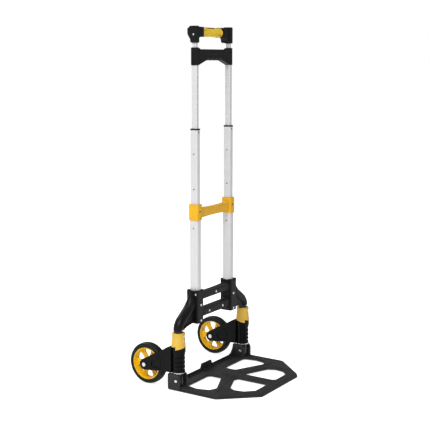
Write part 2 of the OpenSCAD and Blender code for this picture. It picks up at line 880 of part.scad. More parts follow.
// The axle: a plain shaft with a low head at each end
module axle() {
    translate([leg_x, axle_y, axle_z]) rotate([0, 90, 0]) {
        cylinder(r = axle_d / 2, h = 2 * fork_half, center = true);
        for (s = [0, 1]) rotate([s * 180, 0, 0]) translate([0, 0, fork_half]) difference() {
            cylinder(r = 6.2, h = 2.6);
            translate([0, 0, 1.4]) cylinder(r = 2.8, h = 3, $fn = 6);
        }
    }
}

rim_r = 51;
module tyre() {
    r = wheel_d / 2;
    translate([leg_x, axle_y, axle_z]) rotate([0, 90, 0]) rotate_extrude() polygon(concat(
        [[rim_r + fit, -tyre_w / 2 + 1.5]],
        [for (i = [0:12]) let (a = -90 + 180 * i / 12)
            [r - 7 + 7 * cos(a), (tyre_w / 2 - 7) * (a > 0 ? 1 : a < 0 ? -1 : 0) + 7 * sin(a)]],
        [[rim_r + fit, tyre_w / 2 - 1.5]]
    ));
}

hub_r = 14;
bearing_r = 9;
module hub() {
    translate([leg_x, axle_y, axle_z]) rotate([0, 90, 0]) difference() {
        union() {
            difference() {
                cylinder(r = rim_r, h = tyre_w - 3, center = true);
                cylinder(r = rim_r - 5, h = tyre_w, center = true);
            }
            cylinder(r = hub_r, h = tyre_w - 2, center = true);
            for (k = [0:5]) rotate([0, 0, 60 * k + 25]) translate([0, -5.5, -7])
                cube([rim_r - 3, 11, 8]);
        }
        for (s = [0, 1]) rotate([s * 180, 0, 0]) translate([0, 0, tyre_w / 2 - 8])
            cylinder(r = bearing_r + fit, h = 20);
        cylinder(r = axle_d / 2 + 1, h = 60, center = true);
    }
}

module bearings() {
    translate([leg_x, axle_y, axle_z]) rotate([0, 90, 0])
        for (s = [0, 1]) rotate([s * 180, 0, 0]) translate([0, 0, tyre_w / 2 - 8]) difference() {
            cylinder(r = bearing_r, h = 7);
            translate([0, 0, -1]) cylinder(r = axle_d / 2 + fit, h = 10);
        }
}

module right_wheel_fork() { color(black_plastic) wheel_fork(); }
module right_axle() { color(silver) axle(); }
module right_tyre() { color(rubber_black) tyre(); }
module right_hub() { color(amber) hub(); }
module right_bearings() { color(zinc) bearings(); }
module left_wheel_fork() { color(black_plastic) mirror([1, 0, 0]) wheel_fork(); }
module left_axle() { color(silver) mirror([1, 0, 0]) axle(); }
module left_tyre() { color(rubber_black) mirror([1, 0, 0]) tyre(); }
module left_hub() { color(amber) mirror([1, 0, 0]) hub(); }
module left_bearings() { color(zinc) mirror([1, 0, 0]) bearings(); }

base_bracket_front();
base_bracket_rear();
bracket_screws();
left_leg_tube();
right_leg_tube();
left_outer_tube();
right_outer_tube();
crossbar();
crossbar_rivets();
left_cam_collar();
right_cam_collar();
collar_screws();
left_foot_plug();
right_foot_plug();
left_pivot_pin();
right_pivot_pin();
left_middle_tube();
right_middle_tube();
middle_bushings();
bushing_rivets();
middle_lock_pins();
left_inner_tube();
right_inner_tube();
lower_grip_front();
lower_grip_rear();
lower_grip_screws();
inner_lock_pins();
left_top_tube();
right_top_tube();
upper_grip();
upper_grip_sleeve();
upper_grip_screws();
top_guides();
release_button();
release_rods();
release_spring();
toe_plate();
left_thrust_washer();
right_thrust_washer();
left_wheel_fork();
left_axle();
left_tyre();
left_hub();
left_bearings();
right_wheel_fork();
right_axle();
right_tyre();
right_hub();
right_bearings();
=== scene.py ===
import json
import math

import bmesh
import bpy
from mathutils import Matrix, Vector


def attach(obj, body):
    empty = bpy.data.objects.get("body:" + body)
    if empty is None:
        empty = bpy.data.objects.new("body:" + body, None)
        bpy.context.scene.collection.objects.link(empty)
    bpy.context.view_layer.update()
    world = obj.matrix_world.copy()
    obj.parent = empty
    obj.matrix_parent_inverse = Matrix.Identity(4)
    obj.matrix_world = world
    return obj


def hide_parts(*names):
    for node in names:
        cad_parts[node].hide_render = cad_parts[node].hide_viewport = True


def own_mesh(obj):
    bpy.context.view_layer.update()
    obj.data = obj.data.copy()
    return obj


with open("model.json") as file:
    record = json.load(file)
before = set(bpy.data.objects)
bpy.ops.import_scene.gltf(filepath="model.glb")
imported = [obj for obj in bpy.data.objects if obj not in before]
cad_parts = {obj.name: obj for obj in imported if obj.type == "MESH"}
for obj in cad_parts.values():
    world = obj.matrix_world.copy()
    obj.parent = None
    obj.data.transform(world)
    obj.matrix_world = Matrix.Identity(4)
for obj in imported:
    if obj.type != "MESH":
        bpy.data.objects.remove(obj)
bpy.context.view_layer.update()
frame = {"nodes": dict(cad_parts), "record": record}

MM = 0.001
NODES = frame["nodes"]

# Places that the CAD fixes, in millimetres
MAST_X = 92.4
LEG_X, LEG_R = 184.0, 14.0
BEND_R, KNEE_Z = 32.0, 188.0
AXLE_Y, AXLE_Z = 111.7, 63.5
CAM_LOW, CAM_RISE, CAM_TURN = 125.0, 10.0, -8.0
PIVOT_Y, PIVOT_Z = -5.0, 31.0
GRIP_Y, GRIP_Z, GRIP_R, SLEEVE_HALF = 8.5, 1063.0, 13.0, 53.0
SPRING_X, SPRING_FOOT = 12.0, 1054.5


# ---------------------------------------------------------------- mesh tools

class Shape:
    """Vertices in millimetres, and faces, gathered from several closed shells."""

    def __init__(self):
        self.verts, self.faces = [], []

    def add(self, verts, faces, place=None):
        start = len(self.verts)
        self.verts += [tuple(place(v)) if place else tuple(v) for v in verts]
        self.faces += [[i + start for i in f] for f in faces]
        return self

    def join(self, other, place=None):
        return self.add(other.verts, other.faces, place)


def mirrored(v):
    return (-v[0], v[1], v[2])


def arc(cx, cy, r, start, end, steps):
    return [(cx + r * math.cos(math.radians(start + (end - start) * i / steps)),
             cy + r * math.sin(math.radians(start + (end - start) * i / steps)))
            for i in range(steps + 1)]


def rounded(corners, steps=6):
    """A closed outline from corners given as (x, y, radius)."""
    out = []
    n = len(corners)
    for i in range(n):
        b = Vector(corners[i][:2])
        r = corners[i][2]
        if r <= 0:
            out.append(tuple(b))
            continue
        u = (Vector(corners[i - 1][:2]) - b).normalized()
        v = (Vector(corners[(i + 1) % n][:2]) - b).normalized()
        half = math.acos(max(-1, min(1, u.dot(v)))) / 2
        centre = b + (u + v).normalized() * r / math.sin(half)
        p = b + u * r / math.tan(half) - centre
        q = b + v * r / math.tan(half) - centre
        a0 = math.atan2(p.y, p.x)
        sweep = (math.atan2(q.y, q.x) - a0 + math.pi) % (2 * math.pi) - math.pi
        for k in range(steps + 1):
            a = a0 + sweep * k / steps
            out.append((centre.x + r * math.cos(a), centre.y + r * math.sin(a)))
    return out


def round_rect(w, d, r, steps=6, cx=0.0, cy=0.0):
    return rounded([(cx - w / 2, cy - d / 2, r), (cx + w / 2, cy - d / 2, r),
                    (cx + w / 2, cy + d / 2, r), (cx - w / 2, cy + d / 2, r)], steps)


def slab(outline, low, high, bevel=1.0, holes=(), res=2):
    """A plate with rounded edges: an outline with holes, drawn out from low to high."""
    data = bpy.data.curves.new("slab", "CURVE")
    data.dimensions = "2D"
    data.fill_mode = "BOTH"
    data.extrude = max((high - low) / 2 - bevel, 0.01)
    data.bevel_depth = bevel
    data.bevel_resolution = res
    data.offset = -bevel
    for loop in (outline, *holes):
        area = sum(a[0] * b[1] - b[0] * a[1] for a, b in zip(loop, loop[1:] + loop[:1]))
        if (area < 0) == (loop is outline):
            loop = loop[::-1]
        spline = data.splines.new("POLY")
        spline.points.add(len(loop) - 1)
        for point, (x, y) in zip(spline.points, loop):
            point.co = (x, y, 0, 1)
        spline.use_cyclic_u = True
    ob = bpy.data.objects.new("slab", data)
    bpy.context.scene.collection.objects.link(ob)
    bpy.context.view_layer.update()
    mesh = ob.evaluated_get(bpy.context.evaluated_depsgraph_get()).to_mesh()
    bm = bmesh.new()
    bm.from_mesh(mesh)
    bmesh.ops.remove_doubles(bm, verts=bm.verts, dist=0.002)
    bmesh.ops.dissolve_limit(bm, angle_limit=0.0005, verts=bm.verts, edges=bm.edges)
    bm.verts.index_update()
    middle = (low + high) / 2
    shape = Shape().add([tuple(v.co) for v in bm.verts],
                        [[v.index for v in f.verts] for f in bm.faces],
                        lambda v: (v[0], v[1], v[2] + middle))
    bm.free()
    bpy.data.objects.remove(ob)
    bpy.data.curves.remove(data)
    return shape


def along_y(v):
    """From a shape drawn in X and Z, with its thickness along Y."""
    return (v[0], v[2], v[1])


def along_x(v):
    """From a shape drawn in Y and Z, with its thickness along X."""
    return (v[2], v[0], v[1])


def rings(loops, closed=False):
    """A skin through loops of equal length, capped unless it closes on itself."""
    n = len(loops[0])
    verts = [p for loop in loops for p in loop]
    faces = []
    count = len(loops)
    for k in range(count if closed else count - 1):
        a, b = k * n, ((k + 1) % count) * n
        for j in range(n):
            faces.append([a + j, a + (j + 1) % n, b + (j + 1) % n, b + j])
    if not closed:
        faces.append(list(range(n))[::-1])
        faces.append([(count - 1) * n + j for j in range(n)])
    return Shape().add(verts, faces)


def lathe(profile, n, place, closed=False):
    """A profile of (radius, height) turned about Z, then placed."""
    loops = [[(r * math.cos(2 * math.pi * j / n), r * math.sin(2 * math.pi * j / n), z)
              for j in range(n)] for r, z in profile]
    return Shape().join(rings(loops, closed), place)


def about_x(x, y, z, side=1):
    """Turns the Z axis to X, or to -X where side is -1, and moves it to a place."""
    return lambda v: (x + side * v[2], y + v[0], z + v[1])


on_axle = about_x(LEG_X, AXLE_Y, AXLE_Z)


def piece(name, shape, body, mat, replaces, angle=35):
    """A shape as an object in metres, riding on a body, with its material."""
    mesh = bpy.data.meshes.new(name)
    mesh.from_pydata([tuple(c * MM for c in v) for v in shape.verts], [], shape.faces)
    bm = bmesh.new()
    bm.from_mesh(mesh)
    bmesh.ops.remove_doubles(bm, verts=bm.verts, dist=1e-7)
    bmesh.ops.recalc_face_normals(bm, faces=bm.faces)
    bm.to_mesh(mesh)
    bm.free()
    mesh.polygons.foreach_set("use_smooth", [True] * len(mesh.polygons))
    mesh.set_sharp_from_angle(angle=math.radians(angle))
    ob = bpy.data.objects.new(name, mesh)
    bpy.context.scene.collection.objects.link(ob)
    ob.modifiers.new("shading", "WEIGHTED_NORMAL").keep_sharp = True
    mesh.materials.append(mat)
    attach(ob, body)
    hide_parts(*replaces)
    return ob


# ---------------------------------------------------------------- materials

def material(name, colour, roughness, metallic=0.0, grain=0.0, grain_scale=900.0, cells=0.0,
             cell_scale=450.0, blotch=0.12, blotch_scale=25.0, rough_var=0.08, coat=0.0,
             stretch=(1, 1, 1), dust=0.0, specular=0.5):
    """Moulded, painted or drawn stock: two scales of colour, uneven gloss, and a fine relief."""
    mat = bpy.data.materials.new(name)
    mat.use_nodes = True
    nodes, links = mat.node_tree.nodes, mat.node_tree.links
    shader = nodes["Principled BSDF"]
    shader.inputs["Metallic"].default_value = metallic
    shader.inputs["Specular IOR Level"].default_value = specular
    shader.inputs["Coat Weight"].default_value = coat
    shader.inputs["Coat Roughness"].default_value = 0.12
    place = nodes.new("ShaderNodeTexCoord")
    scaled = nodes.new("ShaderNodeMapping")
    scaled.inputs["Scale"].default_value = stretch
    links.new(place.outputs["Object"], scaled.inputs["Vector"])

    def noise(scale, detail):
        node = nodes.new("ShaderNodeTexNoise")
        node.inputs["Scale"].default_value = scale
        node.inputs["Detail"].default_value = detail
        links.new(scaled.outputs["Vector"], node.inputs["Vector"])
        return node

    def span(source, low, high, from_low=0.3, from_high=0.7):
        node = nodes.new("ShaderNodeMapRange")
        node.inputs["From Min"].default_value = from_low
        node.inputs["From Max"].default_value = from_high
        node.inputs["To Min"].default_value = low
        node.inputs["To Max"].default_value = high
        links.new(source, node.inputs["Value"])
        return node.outputs["Result"]

    broad, fine = noise(blotch_scale, 4), noise(grain_scale, 3)
    ramp = nodes.new("ShaderNodeValToRGB")
    ramp.color_ramp.elements[0].position = 0.28
    ramp.color_ramp.elements[1].position = 0.72
    dark = [c * (1 - blotch) for c in colour]
    light = [min(1.0, c * (1 + blotch) + dust) for c in colour]
    ramp.color_ramp.elements[0].color = (*dark, 1)
    ramp.color_ramp.elements[1].color = (*light, 1)
    links.new(broad.outputs["Fac"], ramp.inputs["Fac"])
    speck = nodes.new("ShaderNodeMix")
    speck.data_type = "RGBA"
    speck.blend_type = "MULTIPLY"
    speck.inputs["Factor"].default_value = 1.0
    grey = nodes.new("ShaderNodeCombineColor")
    tone = span(fine.outputs["Fac"], 1 - blotch * 0.8, 1.0)
    for channel in ("Red", "Green", "Blue"):
        links.new(tone, grey.inputs[channel])
    links.new(ramp.outputs["Color"], speck.inputs["A"])
    links.new(grey.outputs["Color"], speck.inputs["B"])
    links.new(speck.outputs["Result"], shader.inputs["Base Color"])
    links.new(span(broad.outputs["Fac"], roughness - rough_var, roughness + rough_var),
              shader.inputs["Roughness"])
    height = fine.outputs["Fac"]
    if cells:
        pebbles = nodes.new("ShaderNodeTexVoronoi")
        pebbles.feature = "SMOOTH_F1"
        pebbles.inputs["Scale"].default_value = cell_scale
        links.new(scaled.outputs["Vector"], pebbles.inputs["Vector"])
        total = nodes.new("ShaderNodeMath")
        total.operation = "MULTIPLY_ADD"
        total.inputs[1].default_value = -cells
        links.new(pebbles.outputs["Distance"], total.inputs[0])
        links.new(fine.outputs["Fac"], total.inputs[2])
        height = total.outputs["Value"]
    relief = nodes.new("ShaderNodeBump")
    relief.inputs["Strength"].default_value = grain
    relief.inputs["Distance"].default_value = 0.0004
    links.new(height, relief.inputs["Height"])
    links.new(relief.outputs["Normal"], shader.inputs["Normal"])
    return mat


BLACK = material("black_plastic", (0.0065, 0.0065, 0.007), 0.42, grain=0.35, grain_scale=1400,
                 blotch=0.2, dust=0.002, specular=0.17)
GLOSS_BLACK = material("fork_plastic", (0.004, 0.004, 0.0045), 0.3, grain=0.15, grain_scale=700,
                       blotch=0.2, specular=0.12)
PLATE = material("plate_plastic", (0.026, 0.026, 0.027), 0.5, grain=0.7, grain_scale=1500,
                 cells=1.8, cell_scale=520, blotch=0.16, dust=0.004, specular=0.25)
YELLOW = material("yellow_plastic", (0.86, 0.46, 0.012), 0.42, grain=0.25, blotch=0.05,
                  specular=0.35)
PALE_YELLOW = material("pale_yellow_plastic", (0.84, 0.52, 0.07), 0.45, grain=0.3, blotch=0.07,
                       specular=0.35)
AMBER = material("hub_plastic", (0.96, 0.57, 0.006), 0.32, grain=0.12, blotch=0.05, specular=0.4)
GRIP = material("grip_yellow", (0.97, 0.62, 0.03), 0.5, grain=0.5, grain_scale=1600, blotch=0.06,
                specular=0.3)
ALUMINIUM = material("mast_aluminium", (0.76, 0.765, 0.775), 0.38, metallic=0.35, grain=0.25,
                     grain_scale=2600, blotch=0.04, stretch=(1, 1, 0.01), rough_var=0.05)
LEG = material("leg_steel", (0.008, 0.008, 0.009), 0.25, grain=0.12, grain_scale=600, blotch=0.15,
               coat=0.2, specular=0.3)
STEEL = material("bright_steel", (0.78, 0.79, 0.81), 0.28, metallic=1.0, grain=0.2,
                 grain_scale=1500, blotch=0.08)
DARK_STEEL = material("dark_steel", (0.07, 0.07, 0.075), 0.4, metallic=0.8, grain=0.2, blotch=0.1)
PIN_STEEL = material("pin_steel", (0.22, 0.22, 0.23), 0.45, metallic=0.8, grain=0.2, blotch=0.15)
RUBBER = material("tyre_rubber", (0.009, 0.009, 0.0095), 0.48, grain=0.5, grain_scale=1100,
                  blotch=0.25, dust=0.003, specular=0.2)

FINISH = {
    "black_plastic": BLACK, "plate_plastic": PLATE, "yellow_plastic": YELLOW,
    "pale_yellow_plastic": PALE_YELLOW, "hub_plastic": AMBER, "grip_yellow": GRIP,
    "mast_aluminium": ALUMINIUM, "leg_steel": LEG, "bright_steel": STEEL,
    "dark_steel": DARK_STEEL, "tyre_rubber": RUBBER,
}
for part in frame["record"]["subparts"]:
    node = NODES[part["node"]]
    node.data.materials.clear()
    node.data.materials.append(FINISH[part["material_slot"]])
for name in ("middle_lock_pins", "inner_lock_pins"):
    NODES[name].data.materials[0] = PIN_STEEL


# ---------------------------------------------------------------- stage

IMAGE_WIDTH, FOCAL_PIXELS, SENSOR = 430, 978.70, 36


def camera():
    data = bpy.data.cameras.new("camera")
    data.sensor_width = SENSOR
    data.lens = FOCAL_PIXELS / IMAGE_WIDTH * SENSOR
    data.shift_x, data.shift_y = 0.01015, -0.03
    data.clip_start, data.clip_end = 0.1, 60
    ob = bpy.data.objects.new("camera", data)
    yaw, pitch = 0.580050, 0.145308
    back = Vector((-math.cos(pitch) * math.cos(yaw), -math.cos(pitch) * math.sin(yaw),
                   math.sin(pitch)))
    right = Vector((math.sin(yaw), -math.cos(yaw), 0))
    up = back.cross(right)
    place = Vector((-2.50569, -1.63611, 0.98459))
    ob.matrix_world = Matrix.Translation(place) @ Matrix((right, up, back)).transposed().to_4x4()
    bpy.context.scene.collection.objects.link(ob)
    bpy.context.scene.camera = ob


def light(name, place, height, size, power):
    """A square soft light, aimed at a height on the object's middle line."""
    data = bpy.data.lights.new(name, "AREA")
    data.shape, data.size = "SQUARE", size
    data.energy = power
    ob = bpy.data.objects.new(name, data)
    ob.location = place
    aim = Vector((0, 0, height)) - Vector(place)
    ob.rotation_euler = aim.to_track_quat("-Z", "Y").to_euler()
    bpy.context.scene.collection.objects.link(ob)


def seen_level(tree, lighting, seen):
    """One strength for the light that surfaces get, and another for what the picture shows."""
    ray = tree.nodes.new("ShaderNodeLightPath")
    level = tree.nodes.new("ShaderNodeMapRange")
    level.inputs["To Min"].default_value = lighting
    level.inputs["To Max"].default_value = seen
    tree.links.new(ray.outputs["Is Camera Ray"], level.inputs["Value"])
    return level.outputs["Result"]


def stage():
    mesh = bpy.data.meshes.new("floor")
    mesh.from_pydata([(-30, -30, 0), (30, -30, 0), (30, 30, 0), (-30, 30, 0)], [], [(0, 1, 2, 3)])
    floor = bpy.data.objects.new("floor", mesh)
    bpy.context.scene.collection.objects.link(floor)
    mat = material("floor", (0.9, 0.9, 0.9), 0.75, grain=0.05, grain_scale=60, blotch=0.005,
                   blotch_scale=2, specular=0.1)
    shader = mat.node_tree.nodes["Principled BSDF"]
    shader.inputs["Emission Color"].default_value = (1, 1, 1, 1)
    mat.node_tree.links.new(seen_level(mat.node_tree, 0.3, 0.78),
                            shader.inputs["Emission Strength"])
    mesh.materials.append(mat)
    floor.location.z = -0.0008
    world = bpy.data.worlds.new("world")
    world.use_nodes = True
    tree = world.node_tree
    tree.nodes["Background"].inputs["Color"].default_value = (1, 1, 1, 1)
    tree.links.new(seen_level(tree, 0.27, 1.0), tree.nodes["Background"].inputs["Strength"])
    bpy.context.scene.world = world
    light("key", (-2.2, -0.6, 2.6), 0.4, 1.6, 72)
    light("fill", (1.6, -2.6, 1.8), 0.4, 2.0, 2)
    light("rim", (0.8, 2.4, 2.2), 0.5, 1.6, 35)
    bpy.context.scene.view_settings.view_transform = "Standard"


camera()
stage()

# ---------------------------------------------------------------- base bracket and legs

def curve_points(points, steps):
    """A smooth line through points, straight on at both ends."""
    out = []
    for i in range(len(points) - 1):
        a = Vector(points[max(i - 1, 0)])
        b, c = Vector(points[i]), Vector(points[i + 1])
        d = Vector(points[min(i + 2, len(points) - 1)])
        for k in range(steps):
            t = k / steps
            out.append(0.5 * (2 * b + (c - a) * t + (2 * a - 5 * b + 4 * c - d) * t * t
                              + (3 * b - a - 3 * c + d) * t ** 3))
    out.append(Vector(points[-1]))
    return out


def tube_xz(path, radii, inner=0.0, n=36):
    """A bar along a path in X and Z that stays outside X = inner.
    radii gives its half width and half depth from the share of the path."""
    loops = []
    for i, p in enumerate(path):
        ahead, behind = path[min(i + 1, len(path) - 1)], path[max(i - 1, 0)]
        along = (ahead - behind).normalized()
        side = Vector((along.y, -along.x))
        r, depth = radii(i / (len(path) - 1))
        loops.append([(max(p.x + side.x * r * math.cos(a), inner), depth * math.sin(a),
                       p.y + side.y * r * math.cos(a))
                      for a in (2 * math.pi * j / n for j in range(n))])
    return rings(loops)


def leg(place):
    """The leg tube up to just past its knee, inside the bracket's arm."""
    path = [Vector((LEG_X, z)) for z in (16, 60, 120, KNEE_Z)]
    path += [Vector(p) for p in arc(LEG_X - BEND_R, KNEE_Z, BEND_R, 5, 15, 3)]
    return Shape().join(tube_xz(path, lambda t: (LEG_R, LEG_R)), place)


def arm_radii(t):
    """A thin lip at the cuff, a round bar, then a flatter end against the mast socket."""
    if t <= 0.01:
        return 14.6, 14.6
    return 15.4, 15.4 - 30 * max(0.0, t - 0.68)


def bracket():
    half = Shape()
    # the S-shaped arm, from its cuff on the leg up into the side of the socket
    arm = curve_points([(184, 180.5), (184, 187), (181.6, 195), (172.5, 207), (154, 220.5),
                        (131, 237.5), (117.5, 255), (110, 272), (106, 286)], 7)
    half.join(tube_xz(arm, arm_radii, inner=104.6))
    # the web between the arm and the socket, with a raised border along its free edge
    half.join(slab([(105, 192.4), (119, 194), (138, 191.8), (152, 189.4), (161, 186.6),
                    (167, 183.4), (171, 183), (174, 190), (165, 211), (152, 220), (130, 236),
                    (113, 262), (105, 270)], -7.5, 7.5, 1.2), along_y)
    half.join(slab([(108, 189.8), (119, 191.6), (138, 189.4), (152, 187.2), (161, 184.2),
                    (168, 180.8), (172, 184), (162, 190), (152, 192.6), (138, 195), (119, 197.6),
                    (108, 196)], -10.5, 10.5, 1.2), along_y)
    # the socket, its lugged top corners and the lip round its mouth
    mouth = round_rect(22.2, 30.2, 5, cx=MAST_X)
    half.join(slab(round_rect(34, 41.2, 4.5, cx=95), 187, 285.5, 1.4, [mouth]))
    half.join(slab(round_rect(31, 38.4, 4, cx=94.6), 284, 287.4, 0.8, [mouth]))
    inner_lug = rounded([(78.2, -20.4, 3), (88, -20.4, 1), (88, -16, 0), (84, -15.6, 2),
                         (81, -13, 1), (80.9, -10, 0), (78.2, -10, 1)])
    outer_lug = rounded([(111.8, -20.4, 3), (111.8, -10, 1), (104.4, -10, 0), (104, -13, 1),
                         (101, -15.6, 2), (97, -16, 0), (97, -20.4, 1)])
    for side in (1, -1):
        for lug in (inner_lug, outer_lug):
            half.join(slab([(x, side * y) for x, y in lug], 278, 289.6, 0.8))
    # ledges in the window's corners and a rib beside the socket
    half.join(slab(rounded([(60, 225, 0), (80, 225, 0), (80, 238, 0), (74, 231.5, 5)]),
                   -13.5, 6.5, 1.0), along_y)
    half.join(slab(rounded([(66, 259, 0), (80, 252, 0), (80, 259, 0)]), -13.5, 6.5, 1.0), along_y)
    half.join(slab([(74, 196), (80, 190), (80, 285), (76.5, 284), (74, 270)], -15.6, 9, 1.0),
              along_y)
    whole = Shape().join(half).join(half, mirrored)
    # the two bars between the sockets
    end = 80
    crest = [(end * (1 - k / 8), 277 + 3 * (1 - k / 8) ** 2) for k in range(17)]
    whole.join(slab([(-end, 257), (end, 257)] + crest, -15, 8, 1.5), along_y)
    whole.join(slab([(-end, 203), (-60, 203), (60, 203), (end, 203), (end, 227), (-end, 227)],
                    -15, 8, 1.5), along_y)
    # shallow raised panels on the bars' front faces
    for left, right, low, high_left, high_right in (
            (-70, -9, 261, 273.5, 272.5), (9, 70, 261, 272.5, 273.5),
            (-72, -45, 207, 223, 223), (-31, 31, 207, 223, 223), (45, 72, 207, 223, 223)):
        whole.join(slab(rounded([(left, low, 2), (right, low, 2), (right, high_right, 2),
                                 (left, high_left, 2)]), -15.7, -14, 0.6), along_y)
    return whole


piece("base_bracket", bracket(), "base", BLACK,
      ("base_bracket_front", "base_bracket_rear"), angle=38)
piece("right_leg", leg(None), "base", LEG, ("right_leg_tube",))
piece("left_leg", leg(mirrored), "base", LEG, ("left_leg_tube",))


# ---------------------------------------------------------------- crossbar

def crossbar():
    shape = Shape()
    half = Shape().join(slab(round_rect(26, 34, 5, cx=MAST_X), 503, 552, 1.2,
                             [round_rect(22.2, 30.2, 5, cx=MAST_X)]))
    half.join(slab(round_rect(23.5, 31.5, 4.4, cx=MAST_X), 549.5, 552, 0.5,
                   [round_rect(18.1, 25.6, 4.3, cx=MAST_X)]))
    shape.join(half).join(half, mirrored)
    # the bar flares a little towards the sockets
    xs = [-84 + 21 * i for i in range(9)]
    low = [(x, 511 - 3 * (x / 82) ** 2) for x in xs]
    high = [(x, 537 + 4 * (x / 82) ** 2) for x in xs[::-1]]
    shape.join(slab(low + high, -11, 3, 1.6), along_y)
    return shape.join(slab(rounded([(-74, 513.5, 3), (74, 513.5, 3), (74, 534, 3), (0, 532, 40),
                                    (-74, 534, 3)]), -11.7, -10, 0.7), along_y)


piece("crossbar_moulding", crossbar(), "base", YELLOW, ("crossbar",))


# ---------------------------------------------------------------- cams and forks

def cam_sections(section, turn=0.0):
    """Radial sections all round the leg, with both sides of each cam step."""
    starts, steps, gap = 3, 32, 0.02
    share = 360 / starts
    loops = []
    for k in range(starts):
        for i in range(steps + 1):
            angle = CAM_TURN + turn - share * k - gap - (share - 2 * gap) * i / steps
            height = CAM_LOW + CAM_RISE * i / steps
            a = math.radians(angle)
            loops.append([(LEG_X + r * math.cos(a), r * math.sin(a), z)
                          for r, z in section(angle, height)])
    return rings(loops, closed=True)


def collar_section(_, cam):
    return [(14.1, cam), (20.9, cam), (21.5, cam + 0.6), (21.5, 137.5), (20.6, 148), (19.6, 160),
            (19.0, 167.5), (19.3, 168.6), (20.1, 169.4), (20.1, 173.6), (19.4, 174.8), (18.4, 175),
            (14.1, 175)]


def sleeve_section(angle, cam):
    """The fork's sleeve, with waves down its front."""
    front = (0.5 + 0.5 * math.cos(math.radians(angle + 80))) ** 1.5
    foot, length, pitch = 58, 52, 13
    out = [(14.1, 54.7), (18.9, 54.7), (19.8, 55.6)]
    for i in range(25):
        up = length * i / 24
        out.append((20 - front * (1 - math.cos(2 * math.pi * up / pitch)), foot + up))
    top = cam - 0.3
    return out + [(20.2, 113), (21.2, 115.5), (21.4, 117), (21.4, top - 0.8), (20.8, top),
                  (14.1, top)]


def fork():
    outline = [(14, 55), (22, 55), (49, 53)] + arc(AXLE_Y, AXLE_Z, 17, -97, 62, 18)
    outline += [(38, 124), (27, 131), (14, 131)]
    panel = rounded([(47, 62, 4), (84, 57.5, 9), (85, 77, 9), (47, 103, 4)], 8)
    pad = rounded([(50, 65, 3), (82, 61, 7), (82.5, 75.5, 7), (50, 97.5, 3)], 8)
    shape = cam_sections(sleeve_section, 0.6)
    block = rounded([(12, 55, 0), (22, 55, 2), (42, 53.6, 0), (42, 121.3, 0), (38, 124, 4),
                     (27, 131, 4), (12, 131, 0)])
    shape.join(slab(block, -23.8, 23.8, 1.6), about_x(LEG_X, 0, 0))
    for side in (1, -1):
        cheek = about_x(LEG_X, 0, 0, side)
        shape.join(slab(outline, 17.5, 21.6, 0.8), cheek)
        shape.join(slab(outline, 20.6, 24, 1.0, [panel]), cheek)
        shape.join(slab(pad, 21, 22.6, 0.7), cheek)
        shape.join(lathe([(8.2, 22.9), (8.2, 24.4), (8.9, 24.9), (10.6, 24.9), (11.3, 24.4),
                          (11.3, 22.9)], 48, about_x(LEG_X, AXLE_Y, AXLE_Z, side), closed=True))
    return shape


def two_sided(half):
    """A profile and its mirror image across the wheel's middle plane."""
    return half + [(r, -x) for r, x in half[::-1]]


def tyre():
    side = [(48.9, 12.4), (50.6, 13.1), (53.4, 13.3), (53.9, 12.9), (54.8, 12.9), (55.4, 13.6),
            (57.4, 13.9), (59.2, 13.4), (60.9, 12.0), (62.0, 10.2), (62.8, 7.9), (63.2, 5.6),
            (62.7, 5.2), (62.7, 4.6), (63.4, 4.2), (63.5, 2.0)]
    return lathe(two_sided(side), 112, on_axle, closed=True)


def hub():
    rim = [(49.0, 12.9), (48.4, 13.6), (47.3, 13.9), (46.3, 13.4), (45.9, 12.2), (45.2, 8.0),
           (44.4, 4.2), (44.1, 1.0)]
    shape = lathe(two_sided(rim), 96, on_axle, closed=True)
    boss = [(9.1, 6.2), (9.1, 12.2), (9.8, 12.9), (12.4, 12.9), (13.4, 12.2), (14.2, 6.0),
            (14.6, 2.0)]
    shape.join(lathe(two_sided(boss), 48, on_axle, closed=True))
    spoke = rounded([(10, -8.4, 0), (20, -7.2, 8), (35, -7.4, 14), (44.8, -14, 0), (44.8, 14, 0),
                     (35, 7.4, 14), (20, 7.2, 8), (10, 8.4, 0)])
    rib = [(12, -1.6), (44.6, -1.6), (44.6, 1.6), (12, 1.6)]
    spokes, first = 6, 25
    for k in range(spokes):
        a = math.radians(360 / spokes * k + first)

        def turn(v, a=a):
            p = v[0] * math.cos(a) - v[1] * math.sin(a)
            q = v[0] * math.sin(a) + v[1] * math.cos(a)
            return (LEG_X + v[2], AXLE_Y + q, AXLE_Z - p)
        shape.join(slab(spoke, -6.5, 0.5, 1.5), turn)
        shape.join(slab(rib, -9, -5.5, 1.0), turn)
        shape.join(slab(rib, -0.5, 3, 1.0), turn)
    return shape


for name, place in (("right", None), ("left", mirrored)):
    piece(name + "_collar", Shape().join(cam_sections(collar_section), place), "base",
          PALE_YELLOW, (name + "_cam_collar",))
    piece(name + "_fork_moulding", Shape().join(fork(), place), name + "_fork",
          GLOSS_BLACK, (name + "_wheel_fork",))
    piece(name + "_tyre_ring", Shape().join(tyre(), place), name + "_wheel",
          RUBBER, (name + "_tyre",), angle=50)
    piece(name + "_hub_moulding", Shape().join(hub(), place), name + "_wheel",
          AMBER, (name + "_hub",))


# ---------------------------------------------------------------- toe plate

def plate_edge(inset):
    """The toe plate's outline, drawn in from its edge."""
    x, y, rear = 204 - inset, 248 - inset, 25 - inset
    side_end, nose = -144 + inset * 0.4, 110 - inset * 0.5
    return rounded([(-x, rear, 4), (-x, side_end, 22), (-nose, -y, 14), (nose, -y, 14),
                    (x, side_end, 22), (x, rear, 4)], 8)


